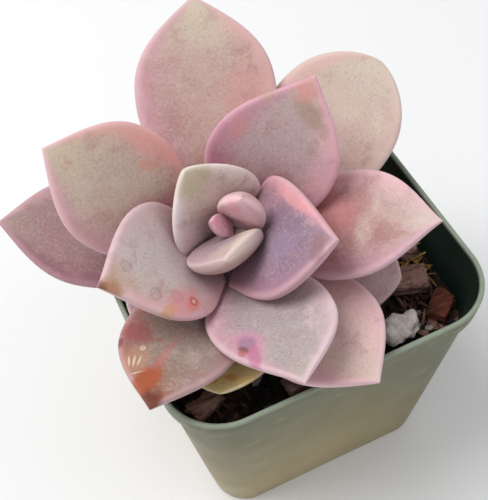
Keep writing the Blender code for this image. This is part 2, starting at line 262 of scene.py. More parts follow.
pot_finish, tree, shader, place = new_material("pot_plastic")
place_x, _, place_z = add_node(tree, "ShaderNodeSeparateXYZ", {0: place}).outputs
clouds = mottle(tree, place, 55.0, 3.0, 0.6)
weather = mottle(tree, place, 210.0, 5.0, 0.65)

# The plastic has kept its green towards the rim and faded elsewhere; the darker green on its +X
# side is painted shade.
upward = remap(tree, place_z, 0.0, 0.058)
# painted shade: the pot is drawn darker and greener on its +X side, the side turned away from the
# softbox
shade_to_plus_x = remap(tree, place_x, 0.0, 0.036, 0.0, 0.75)
green_and_shade = arithmetic(tree, "MINIMUM", arithmetic(tree, "ADD", upward, shade_to_plus_x), 1.0)
olive = mix_colour(tree, clouds, srgb(174, 157, 116), srgb(150, 134, 95))
moss = mix_colour(tree, clouds, srgb(104, 103, 73), srgb(90, 94, 66))
outside = mix_colour(tree, green_and_shade, olive, moss)
scuffs = remap(tree, weather, 0.56, 0.72, 0.0, 0.35)
outside = mix_colour(tree, scuffs, outside, srgb(160, 152, 120))

# The inner wall keeps the dark green of new plastic, and the rim is rubbed pale.
normal = add_node(tree, "ShaderNodeNewGeometry").outputs["Normal"]
facing = add_node(tree, "ShaderNodeVectorMath", {0: normal, 1: place}, operation="DOT_PRODUCT")
inward = remap(tree, facing.outputs["Value"], 0.004, -0.004)
colour = mix_colour(tree, inward, outside, srgb(24, 42, 36))
rim_mask = remap(tree, place_z, 0.0551, 0.0559)
rim_colour = mix_colour(tree, weather, srgb(116, 130, 108), srgb(164, 174, 156))
colour = mix_colour(tree, rim_mask, colour, rim_colour)
gloss = remap(tree, clouds, 0.3, 0.7, 0.38, 0.52)
finish_surface(tree, shader, colour, gloss, weather, 0.0001, 0.4)
add_piece("pot_moulding", cut_holes(pot_shape, drill_shape), pot_finish, ["pot"],
          crease=POT_CREASE)

# ---------------------------------------------------------------------------------------
# The potting mix. Composted bark, peat and grit packed round the roots: a lumpy body
# that fills the pot, strewn with loose crumbs, grit and fibres pressed in at random.

MIX_LEVEL, MIX_BUMP = 45.0, 1.5
MIX_GAP, MIX_FOOT_GAP = 0.1, 0.2  # from the wall and from the floor, in mm
MIX_SHOULDER = 4.0  # how far below the top the even sides end
MIX_CORNER_INSET = 1.2
MIX_SIDE_STEPS = 30
MIX_SKIN_LOOPS = 40  # loops of the uneven top, from the wall to the middle
MIX_CREASE = 35
CRUMBS = 1500
CRUMB_SEED, ROUGHNESS_SEED = 41, 11
CRUMB_ROUGHNESS = 0.35
CRUMB_BED = 0.2  # how far the lowest crumbs are pressed in, in mm
CRUMB_MARGIN, FIBRE_MARGIN = 1.2, 2.4  # kept clear along the wall, in mm
CORNER_START, CORNER_REACH = 20, 7.8  # past this square, crumbs stay within this reach of it
FIBRE_WIDE, FIBRE_THICK = 0.30, 0.24
SPREAD = 0.6  # the usual distance from a patch's middle, as a share of its reach


def mix_height(x, y):
    """The uneven top of the mix, as its CAD solid has it, with finer lumps on it."""
    broad = noise.noise(Vector((x / 11.0, y / 11.0, 0.3)))
    fine = noise.noise(Vector((x / 4.5, y / 4.5, 7.1)))
    lumps = noise.fractal(Vector((x / 1.9, y / 1.9, 2.0)), 0.8, 2.1, 4)
    return MIX_LEVEL + MIX_BUMP * (broad + 0.45 * fine) + 0.55 * lumps


mix_shape = bmesh.new()
mix_loops = []
for height in (POT_FLOOR + MIX_FOOT_GAP, MIX_LEVEL - MIX_SHOULDER):
    half = pot_half(height) - POT_WALL - MIX_GAP
    corner = pot_corner(height) - MIX_CORNER_INSET
    outline = rounded_square(half, corner, CORNER_STEPS, MIX_SIDE_STEPS)
    mix_loops.append(add_loop(mix_shape, outline, lambda x, y: height))
mix_edge = pot_half(MIX_LEVEL) - POT_WALL - MIX_GAP
mix_corner = pot_corner(MIX_LEVEL) - MIX_CORNER_INSET
for share in np.linspace(1.0, 0.04, MIX_SKIN_LOOPS):
    outline = rounded_square(mix_edge * share, mix_corner * share, CORNER_STEPS, MIX_SIDE_STEPS)
    mix_loops.append(add_loop(mix_shape, outline, mix_height))
skin_loops(mix_shape, mix_loops)

mix_finish, tree, shader, place = new_material("potting_mix")
lumps = mottle(tree, place, 420.0, 8.0, 0.7)
patches = mottle(tree, place, 120.0, 4.0, 0.6)
colour = mix_colour(tree, remap(tree, lumps, 0.35, 0.7), srgb(14, 10, 8), srgb(58, 40, 30))
colour = mix_colour(tree, remap(tree, patches, 0.5, 0.7, 0.0, 0.6), colour, srgb(84, 58, 40))
finish_surface(tree, shader, colour, 0.92, lumps, 0.0008)
add_piece("mix_body", mix_shape, mix_finish, ["potting_mix"])

crumb_finish, tree, shader, place = new_material("mix_crumbs")
tint = add_node(tree, "ShaderNodeAttribute", attribute_name="tint").outputs["Color"]
grain = mottle(tree, place, 900.0, 6.0, 0.7)
colour = mix_colour(tree, remap(tree, grain, 0.3, 0.75, 0.0, 0.6), tint, srgb(18, 12, 9))
finish_surface(tree, shader, colour, 0.88, grain, 0.0004)

# Tints of the crumbs, each with its share of them: barks, peat, grey grit, pale grit, moss.
CRUMB_TINTS = (
    (srgb(62, 42, 30), 10), (srgb(36, 25, 19), 12), (srgb(92, 62, 42), 6), (srgb(120, 84, 60), 3),
    (srgb(24, 18, 16), 10), (srgb(84, 84, 82), 1), (srgb(190, 184, 172), 1), (srgb(116, 96, 44), 1),
)
CRUMB_SIZES = (0.45, 0.6, 0.8, 1.1, 1.5)
draw = random.Random(CRUMB_SEED)
noise.seed_set(ROUGHNESS_SEED)
crumbs = bmesh.new()
crumb_tint = crumbs.verts.layers.float_color.new("tint")


def strew(x, y, size, spin, tint_colour, rounds, radius, stack=0.0):
    """Lays one ragged crumb at x and y, stack above the mix, turned, drawn out and tinted."""
    ball = bmesh.ops.create_icosphere(crumbs, subdivisions=rounds, radius=radius)
    lump = ball["verts"]
    for vert in lump:
        knock = noise.noise_vector(vert.co * 1.7 + Vector((x, y, 3.0)))
        vert.co = vert.co + knock * CRUMB_ROUGHNESS
        vert[crumb_tint] = tint_colour
    drawn_out = (spin.to_matrix() @ Matrix.Diagonal(size)).to_4x4()
    bmesh.ops.transform(crumbs, matrix=drawn_out, verts=lump)
    lift = mix_height(x, y) + stack - CRUMB_BED - min(vert.co.z for vert in lump) * 0.6
    bmesh.ops.translate(crumbs, vec=(x, y, lift), verts=lump)


def lie_flat(slant):
    """A turn to any heading, tipped only a little out of level: slant is in radians."""
    heading = Quaternion((0, 0, 1), draw.uniform(0, 2 * math.pi))
    return heading @ Quaternion((0, 1, 0), draw.gauss(0, slant))


for _ in range(CRUMBS):
    x = draw.uniform(-1, 1) * (mix_edge - CRUMB_MARGIN)
    y = draw.uniform(-1, 1) * (mix_edge - CRUMB_MARGIN)
    into_corner = Vector((max(abs(x) - CORNER_START, 0), max(abs(y) - CORNER_START, 0))).length
    spin = Quaternion([draw.gauss(0, 1) for _ in range(4)]).normalized()
    base = draw.choice(CRUMB_SIZES)
    long, wide, thick = draw.uniform(0.8, 1.7), draw.uniform(0.6, 1.0), draw.uniform(0.4, 0.8)
    tint_colour = draw.choices([t for t, _ in CRUMB_TINTS], [w for _, w in CRUMB_TINTS])[0]
    if into_corner < CORNER_REACH:
        strew(x, y, (base * long, base * wide, base * thick), spin, tint_colour, 1, 0.7)

# Fibres and splinters: where they lie, how far they spread, how many, their tints and length.
for middle, reach, count, tints, length in (
    ((26.2, -11.0), 3.4, 90, ((214, 170, 88), (170, 130, 66), (122, 90, 48)), 2.8),
    ((20.5, -19.5), 4.0, 26, ((150, 112, 88), (122, 84, 62)), 1.8),
    ((-20.0, -22.0), 5.0, 14, ((96, 62, 48), (112, 104, 100)), 2.0),
):
    for _ in range(count):
        x = middle[0] + draw.gauss(0, SPREAD) * reach
        y = middle[1] + draw.gauss(0, SPREAD) * reach
        if max(abs(x), abs(y)) > mix_edge - FIBRE_MARGIN:
            continue
        turn = lie_flat(0.30)
        size = (length * draw.uniform(0.5, 1.2), FIBRE_WIDE, FIBRE_THICK)
        tint_colour = srgb(*draw.choice(tints))
        strew(x, y, size, turn, tint_colour, 2, 0.9, stack=draw.uniform(0.0, 1.8))

# Flakes of pumice, bark and slate: where they lie, how far they spread, how many, their tint.
for middle, reach, count, tint_colour in (
    ((18.0, -22.6), 3.4, 22, (206, 192, 182)),
    ((22.5, -24.4), 2.6, 12, (168, 128, 112)),
    ((-10.0, -26.0), 6.0, 7, (96, 96, 96)),
):
    for _ in range(count):
        x = middle[0] + draw.gauss(0, SPREAD) * reach
        y = max(middle[1] + draw.gauss(0, 0.35) * reach, 2.2 - mix_edge)
        turn = lie_flat(0.35)
        size = (draw.uniform(0.9, 2.2), draw.uniform(0.7, 1.4), draw.uniform(0.25, 0.5))
        strew(x, y, size, turn, srgb(*tint_colour), 1, 0.8)
add_piece("mix_crumbs", crumbs, crumb_finish, crease=MIX_CREASE)

# ---------------------------------------------------------------------------------------
# Loose bark and pumice. Bark chips split along the grain into flat, ragged slabs; pumice
# grains are rounded, pale and pitted. Each lies where its CAD solid lies.

BARK_CUTS, BARK_BROAD, BARK_FINE, BARK_SQUEEZE = 5, 0.25, 0.25, (0.5, 1.8, 1.8)
GRAIN_CUTS, GRAIN_BROAD, GRAIN_FINE, GRAIN_SQUEEZE = 4, 0.95, 0.22, (0.8, 0.8, 1.2)


def bark_material(name, dark, light, stain):
    """Bark split along its grain: dark and light fibres, with patches of a third colour."""
    made, tree, shader, place = new_material(name)
    stretch = {"Vector": place, "Rotation": (0, 0, 0.3), "Scale": (0.25, 1.0, 1.0)}
    along = add_node(tree, "ShaderNodeMapping", stretch).outputs[0]
    fibres = mottle(tree, along, 900.0, 6.0, 0.65, 0.6)
    patches = mottle(tree, place, 260.0, 4.0, 0.6)
    colour = mix_colour(tree, remap(tree, fibres, 0.3, 0.7), srgb(*dark), srgb(*light))
    colour = mix_colour(tree, remap(tree, patches, 0.45, 0.7, 0.0, 0.7), colour, srgb(*stain))
    finish_surface(tree, shader, colour, 0.8, fibres, 0.0005)
    return made


bark_finish = bark_material("bark", (78, 48, 40), (188, 148, 134), (120, 74, 56))
red_bark_finish = bark_material("bark_red", (54, 24, 20), (150, 78, 52), (92, 40, 30))

pumice_finish, tree, shader, place = new_material("pumice")
cells = add_node(tree, "ShaderNodeTexVoronoi", {"Vector": place, "Scale": 1300.0})
pits = cells.outputs["Distance"]
cloud = mottle(tree, place, 500.0, 5.0, 0.6)
colour = mix_colour(tree, remap(tree, cloud, 0.3, 0.7), srgb(246, 240, 234), srgb(222, 208, 198))
colour = mix_colour(tree, remap(tree, pits, 0.30, 0.08, 0.0, 0.45), colour, srgb(132, 112, 98))
finish_surface(tree, shader, colour, 0.9, pits, 0.0003, 0.6)


def weathered_copy(node, cuts, broad, fine, squeeze):
    """A CAD piece's own solid, joined up, divided and worn. broad and fine are depths of wear in
    mm, and squeeze says how closely the fine wear is packed along each axis."""
    shape = bmesh.new()
    shape.from_mesh(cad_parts[node].data)
    bmesh.ops.scale(shape, vec=(1 / MM,) * 3, verts=shape.verts)
    bmesh.ops.remove_doubles(shape, verts=shape.verts, dist=0.001)
    bmesh.ops.subdivide_edges(shape, edges=shape.edges, cuts=cuts, use_grid_fill=True)
    bmesh.ops.smooth_vert(shape, verts=shape.verts, factor=0.5,
                          use_axis_x=True, use_axis_y=True, use_axis_z=True)
    shape.normal_update()
    for vert in shape.verts:
        wear = noise.noise(vert.co * Vector(squeeze).length / 3) * broad
        spot = Vector(c * s for c, s in zip(vert.co, squeeze))
        vert.co = vert.co + vert.normal * (wear + fine * noise.fractal(spot, 0.9, 2.0, 4))
    return shape


for name in sorted(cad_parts):
    if name.startswith("bark"):
        chip = weathered_copy(name, BARK_CUTS, BARK_BROAD, BARK_FINE, BARK_SQUEEZE)
        finish = red_bark_finish if name == "bark_2" else bark_finish
        add_piece(name + "_chip", chip, finish, [name])
    elif name.startswith("pumice"):
        grain = weathered_copy(name, GRAIN_CUTS, GRAIN_BROAD, GRAIN_FINE, GRAIN_SQUEEZE)
        add_piece(name + "_grain", grain, pumice_finish, [name])

# ---------------------------------------------------------------------------------------
# The stem. A short corky stalk, bare below the rosette and ringed with the scars of old
# leaves. It leans the way the rosette faces and goes down into the mix.

ROSETTE_CENTRE = Vector((-10.5, -1.5, 67.0))
LEAN, LEAN_HEADING = 22.0, -114.0
AXIS = Vector((
    math.sin(math.radians(LEAN)) * math.cos(math.radians(LEAN_HEADING)),
    math.sin(math.radians(LEAN)) * math.sin(math.radians(LEAN_HEADING)),
    math.cos(math.radians(LEAN)),
))
ACROSS = Vector((-AXIS.y, AXIS.x, 0)).normalized()
UP = AXIS.cross(ACROSS)

# How far below the rosette's centre, and the stem's radius there.
STEM_RUN = (
    (1.6, 0.0), (2.0, 0.6), (3.0, 1.1), (4.5, 1.6), (8.0, 2.2), (14.0, 2.7), (20.0, 3.0),
    (32.0, 2.6), (33.0, 0.0),
)
STEM_SIDES, STEM_RINGS = 28, 90
SCAR_HEIGHT, SCARS_PER_MM = 0.16, 1.6
CORK_HEIGHT = 0.25

stem_shape = bmesh.new()
bmesh.ops.create_uvsphere(stem_shape, u_segments=STEM_SIDES, v_segments=STEM_RINGS, radius=1)
for vert in stem_shape.verts:
    share = math.acos(max(-1.0, min(1.0, vert.co.z))) / math.pi
    turn = math.atan2(vert.co.y, vert.co.x)
    below = STEM_RUN[0][0] + (STEM_RUN[-1][0] - STEM_RUN[0][0]) * share
    radius = float(np.interp(below, [b for b, _ in STEM_RUN], [r for _, r in STEM_RUN]))
    scar = abs(math.sin(below * SCARS_PER_MM + turn)) ** 6 * SCAR_HEIGHT * min(1.0, radius)
    out = ACROSS * math.cos(turn) + UP * math.sin(turn)
    rough = noise.noise((out * radius - AXIS * below) * 0.8) * CORK_HEIGHT
    if share in (0.0, 1.0):
        radius = scar = rough = 0.0
    vert.co = ROSETTE_CENTRE - AXIS * below + out * (radius + scar + rough * min(1.0, radius))
bmesh.ops.recalc_face_normals(stem_shape, faces=stem_shape.faces)

stem_finish, tree, shader, place = new_material("stem")
cork = mottle(tree, place, 700.0, 6.0, 0.65)
colour = mix_colour(tree, remap(tree, cork, 0.3, 0.7), srgb(92, 78, 50), srgb(140, 124, 92))
finish_surface(tree, shader, colour, 0.75, cork, 0.0004)
add_piece("stem_stalk", stem_shape, stem_finish, ["stem"])

# ---------------------------------------------------------------------------------------
# The leaves. Thick blades of water-storing flesh under a dusty wax bloom, grown one after
# another from the heart, each about 137 degrees round from the one before. Where two
# meet, the outer one grows pressed under the inner one, and takes its shape.

LEAF_STEP = 0.85  # how far down the stem each leaf grows from the one before, in mm
SIDES = 28  # points round a leaf
RINGS = 28  # rings of points from its foot to its tip
REACH = 30.0  # how far above a leaf the search for the leaves over it starts, in mm
NUDGE = 0.005  # how far past one surface the search for the next one starts, in mm
PRESS_GAP = 0.12  # between a leaf and the leaf pressed under it, in mm
SOFTENING = 90  # passes that spread a dent out into a smooth hollow

Leaf = namedtuple(
    "Leaf",
    "azimuth sweep lift curl roll length width base aside neck widest skew point thick cup",
)

# azimuth, sweep, lift above the rosette's plane, curl and roll are in degrees, sizes in mm.
# sweep is how far the leaf bends sideways from foot to tip. base and aside place its foot,
# outwards and sideways from the axis. neck is the foot's share of the width, widest the
# place along the leaf where it is widest, and skew how much nearer the foot that is on its
# left side than on its right. point is the sharpness of the tip, with a minus where it is
# blunt, thick the thickness as a share of the width, and cup how far the margins stand up.
LEAVES = (
    Leaf(188, 0, 64, 14, 0, 7.2, 4.2, -1.8, 0.0, 0.85, 0.40, 0.00, 0.00, 0.50, 0.05),
    Leaf(76, 0, 76, 14, 0, 10.8, 8.8, 1.0, -3.2, 0.85, 0.42, 0.00, 0.00, 0.46, 0.05),
    Leaf(284, 0, 50, 14, 18, 14.6, 14.2, -1.5, -0.9, 0.75, 0.36, 0.00, 0.00, 0.38, 0.05),
    Leaf(134, 0, 50, 16, 0, 16.2, 19.4, -0.9, -1.7, 0.95, 0.22, 0.00, -0.25, 0.22, 0.08),
    Leaf(339, 0, 42, 12, 5, 25.0, 23.0, 1.8, 1.2, 0.85, 0.30, 0.12, 0.10, 0.22, 0.12),
    Leaf(211, 0, 41, 0, -10, 28.6, 22.5, 1.0, 0.8, 0.60, 0.38, 0.00, 0.35, 0.22, 0.12),
    Leaf(53, 0, 38, 10, 10, 31.5, 23.5, 3.2, -0.6, 0.60, 0.40, 0.04, 0.30, 0.20, 0.12),
    Leaf(295, -3, 34, 10, 0, 34.0, 21.6, 3.2, 0.4, 0.40, 0.48, -0.08, 0.40, 0.18, 0.12),
    Leaf(157, 0, 34, 5, -8, 34.0, 23.5, 3.2, 0.0, 0.25, 0.52, 0.00, 0.20, 0.20, 0.12),
    Leaf(4, -14, 21, 5, -10, 37.0, 21.5, 3.3, 0.0, 0.25, 0.52, 0.00, 0.45, 0.20, 0.12),
    Leaf(248, 4, 32, 10, 5, 35.5, 20.6, 3.3, 0.0, 0.25, 0.50, 0.03, 0.30, 0.18, 0.12),
    Leaf(95, 0, 16, 18, 8, 43.3, 27.0, 3.4, 0.0, 0.24, 0.55, 0.00, 0.05, 0.18, 0.12),
    Leaf(312, 0, 23, 15, -10, 37.5, 22.5, 3.4, 0.0, 0.24, 0.55, 0.00, 0.25, 0.20, 0.12),
    Leaf(175, 0, 16, 15, 6, 38.5, 21.5, 3.5, 0.0, 0.24, 0.52, 0.00, 0.20, 0.20, 0.12),
    Leaf(46, 0, 13, 18, 0, 42.0, 26.0, 3.5, 0.0, 0.24, 0.58, 0.00, -0.40, 0.18, 0.12),
    Leaf(232, 0, 32, 12, 0, 23.0, 18.5, 3.6, 0.0, 0.24, 0.55, 0.00, 0.30, 0.12, 0.12),
    Leaf(136, 0, 10, 15, 0, 30.0, 20.0, 3.6, 0.0, 0.24, 0.55, 0.00, 0.20, 0.18, 0.12),
    Leaf(346, 0, 8, 15, 0, 30.0, 20.0, 3.7, 0.0, 0.24, 0.55, 0.00, -0.30, 0.18, 0.12),
    Leaf(268, 0, 34, 0, 0, 29.0, 19.0, 4.4, 0.0, 0.24, 0.58, 0.00, -0.30, 0.10, 0.12),
    Leaf(80, 0, 4, 15, 0, 30.0, 20.0, 3.8, 0.0, 0.24, 0.55, 0.00, 0.20, 0.18, 0.12),
)
BUD_RANKS = 4  # leaves in the heart, which are rounder in section and flatter on top
TOP_SHARE, BUD_TOP_SHARE = 0.4, 0.3  # the share of the thickness above the rim
ROUNDNESS, BUD_ROUNDNESS = 0.65, 0.85  # 1 is an oval section, and less is boxier


def half_width(leaf, t, side=0):
    """Half the leaf's width at t, from 0 at its foot to 1 at its tip. side is 1 on its left and
    -1 on its right."""
    widest = leaf.widest - leaf.skew * side
    if t < widest:
        swell = math.sin(math.pi / 2 * t / widest) ** 1.5
        return leaf.width / 2 * (leaf.neck + (1 - leaf.neck) * swell)
    s = ((t - widest) / (1 - widest)) ** (0.6 + 1.5 * widest)
    closing = max(0.0, math.cos(math.pi / 2 * s)) ** (1 + min(0.0, leaf.point))
    return leaf.width / 2 * closing * (1 - max(0.0, leaf.point) * s**3)


def depth(leaf, t):
    """The leaf's thickness at t: thin at its foot, full in the middle, rounded off at its tip."""
    body = 0.55 + 0.45 * math.sin(math.pi / 2 * min(1.0, t / 0.45))
    if t > leaf.widest:
        body *= max(0.0, half_width(leaf, t) / (leaf.width / 2)) ** 0.5
    return leaf.thick * leaf.width * body


def blade(leaf, rank):
    """The leaf's surface as rings of points, and the direction of its underside at each ring."""
    roll = math.radians(leaf.roll)
    top_share = BUD_TOP_SHARE if rank < BUD_RANKS else TOP_SHARE
    roundness = BUD_ROUNDNESS if rank < BUD_RANKS else ROUNDNESS
    foot = ROSETTE_CENTRE - AXIS * (LEAF_STEP * rank - 0.5)
    spot = None
    rings, unders = [], []
    t = 0.0
    for ring in range(RINGS + 1):
        ahead = 0.5 - 0.5 * math.cos(math.pi * ring / RINGS)
        azimuth = math.radians(leaf.azimuth + leaf.sweep * ahead)
        out = ACROSS * math.cos(azimuth) + UP * math.sin(azimuth)
        side = AXIS.cross(out)
        if spot is None:
            spot = foot + out * leaf.base + side * leaf.aside
        rise = math.radians(leaf.lift + leaf.curl * ((t + ahead) / 2 - 0.5))
        spot = spot + (out * math.cos(rise) + AXIS * math.sin(rise)) * leaf.length * (ahead - t)
        t = ahead
        rise = math.radians(leaf.lift + leaf.curl * (t - 0.5))
        face = AXIS * math.cos(rise) - out * math.sin(rise)
        level = side * math.cos(roll) + face * math.sin(roll)
        face = face * math.cos(roll) - side * math.sin(roll)
        deep = depth(leaf, t)
        row = []
        for column in range(SIDES):
            turn = 2 * math.pi * column / SIDES
            wide = half_width(leaf, t, max(-1, min(1, 3 * math.cos(turn))))
            bulge = math.copysign(abs(math.sin(turn)) ** roundness, math.sin(turn))
            bulge *= deep * (top_share if bulge > 0 else 1 - top_share)
            bulge += leaf.cup * wide * math.cos(turn) ** 2
            row.append(spot + level * wide * math.cos(turn) + face * bulge)
        rings.append(row)
        unders.append(-face)
    return np.array(rings), np.array(unders)


def crossing(tree, start, way):
    """How far along a straight line a leaf starts and ends, or None where the line misses it."""
    spans = []
    spot = start
    while True:
        hit = tree.ray_cast(spot, way, 2 * REACH)[0]
        if hit is None:
            return (spans[0], spans[-1]) if spans else None
        spans.append((hit - start).length)
        spot = hit + way * NUDGE


def press_clear(rings, unders, above):
    """Sinks a leaf, its whole thickness at a time, until it lies just under the leaves above it."""
    half = SIDES // 2
    needed = np.zeros((RINGS + 1, half + 1))
    for ring in range(RINGS + 1):
        under = Vector(unders[ring])
        for column in range(half + 1):
            top, bottom = Vector(rings[ring, column]), Vector(rings[ring, -column % SIDES])
            start = top - under * REACH
            limit = REACH + (bottom - top).length + PRESS_GAP
            for tree in above:
                span = crossing(tree, start, under)
                if span and span[0] < limit:
                    needed[ring, column] = max(needed[ring, column], span[1] - REACH)
    needed[[0, -1]] = needed[[0, -1]].max(axis=1, keepdims=True)
    sunk = needed
    for _ in range(SOFTENING):
        wide = np.pad(sunk, 1, mode="edge")
        mean = (wide[:-2, 1:-1] + wide[2:, 1:-1] + wide[1:-1, :-2] + wide[1:-1, 2:]) / 4
        sunk = np.maximum(needed, mean)
        sunk[[0, -1]] = sunk[[0, -1]].max(axis=1, keepdims=True)
    fold = [min(column, SIDES - column) for column in range(SIDES)]
    return rings + unders[:, None, :] * sunk[:, fold, None]


def leaf_shape(rings, leaf):
    """A unit ball drawn out into the leaf. Each point keeps its place on the leaf as attributes."""
    shape = bmesh.new()
    bmesh.ops.create_uvsphere(shape, u_segments=SIDES, v_segments=RINGS, radius=1)
    spot_layer = shape.verts.layers.float_vector.new("leaf_place")
    share_layer = shape.verts.layers.float_vector.new("leaf_share")
    for vert in shape.verts:
        ring = round(math.acos(max(-1.0, min(1.0, -vert.co.z))) / math.pi * RINGS)
        column = round(math.atan2(vert.co.y, vert.co.x) / (2 * math.pi) * SIDES) % SIDES
        t = 0.5 - 0.5 * math.cos(math.pi * ring / RINGS)
        turn = 2 * math.pi * column / SIDES
        if ring in (0, RINGS):
            vert.co = rings[ring].mean(axis=0)
        else:
            vert.co = rings[ring, column]
        wide = half_width(leaf, t)
        edge = 1 - (1 - abs(math.cos(turn))) * wide / (leaf.width / 2)
        vert[spot_layer] = (wide * math.cos(turn), t * leaf.length, math.sin(turn))
        vert[share_layer] = (edge, t, math.cos(turn))
    bmesh.ops.recalc_face_normals(shape, faces=shape.faces)
    return shape


Skin = namedtuple("Skin", "foot body tip left right rim bloom")

# Each leaf's colours from the heart outwards: at its foot, over its body, towards its tip,
# along its left and right sides and on the rounded rim, with how much pale wax lies on it.
SKINS = (
    Skin((186, 126, 146), (234, 176, 190), (244, 166, 182),
         (226, 168, 184), (216, 158, 172), (234, 190, 200), 0.3),
    Skin((176, 138, 146), (240, 198, 206), (246, 198, 206),
         (236, 194, 200), (222, 178, 186), (240, 206, 208), 0.3),
    Skin((156, 130, 136), (166, 140, 148), (200, 176, 166),
         (230, 212, 194), (190, 156, 164), (234, 212, 206), 0.4),
    Skin((172, 148, 148), (204, 184, 174), (214, 204, 178),
         (244, 224, 228), (246, 232, 226), (246, 234, 230), 0.5),
    Skin((144, 120, 142), (142, 116, 138), (164, 130, 140),
         (222, 158, 168), (170, 122, 144), (230, 188, 196), 0.4),
    Skin((188, 160, 168), (206, 192, 188), (196, 160, 140),
         (226, 170, 174), (206, 176, 178), (228, 196, 200), 0.9),
    Skin((160, 100, 122), (194, 168, 168), (206, 178, 160),
         (194, 122, 150), (232, 172, 184), (234, 182, 196), 0.6),
    Skin((168, 142, 150), (172, 158, 160), (184, 168, 158),
         (214, 186, 190), (206, 152, 168), (232, 204, 210), 0.8),
    Skin((166, 104, 110), (196, 174, 160), (206, 188, 164),
         (214, 158, 172), (228, 164, 156), (230, 190, 194), 0.7),
    Skin((166, 90, 96), (168, 116, 114), (214, 190, 182),
         (230, 180, 186), (200, 146, 162), (234, 198, 206), 0.6),
    Skin((138, 110, 106), (150, 132, 120), (150, 96, 68),
         (170, 132, 134), (164, 102, 94), (206, 170, 170), 0.7),
    Skin((176, 130, 132), (200, 166, 158), (212, 196, 174),
         (208, 150, 164), (226, 174, 168), (226, 190, 194), 0.6),
    Skin((204, 156, 162), (226, 192, 188), (204, 182, 168),
         (218, 172, 176), (222, 156, 168), (234, 200, 206), 0.6),
    Skin((128, 78, 88), (168, 132, 134), (166, 140, 132),
         (136, 80, 92), (210, 166, 170), (204, 156, 168), 0.5),
    Skin((186, 138, 142), (200, 170, 162), (208, 192, 174),
         (218, 174, 168), (216, 190, 176), (226, 202, 194), 0.5),
    Skin((150, 120, 130), (178, 152, 160), (184, 156, 160),
         (186, 152, 162), (190, 160, 170), (198, 168, 180), 0.6),
    Skin((160, 128, 124), (188, 160, 152), (196, 174, 158),
         (196, 156, 156), (196, 156, 156), (216, 188, 186), 0.6),
    Skin((150, 116, 118), (192, 158, 158), (214, 184, 184),
         (206, 170, 172), (206, 170, 172), (222, 192, 194), 0.6),
    Skin((214, 180, 132), (232, 214, 146), (214, 196, 116),
         (236, 214, 164), (232, 212, 156), (242, 228, 190), 0.3),
    Skin((160, 130, 120), (188, 164, 150), (194, 176, 152),
         (196, 160, 152), (196, 160, 152), (216, 190, 182), 0.6),
)

Mark = namedtuple("Mark", "leaf x y wide long turn ring strength ragged colour")

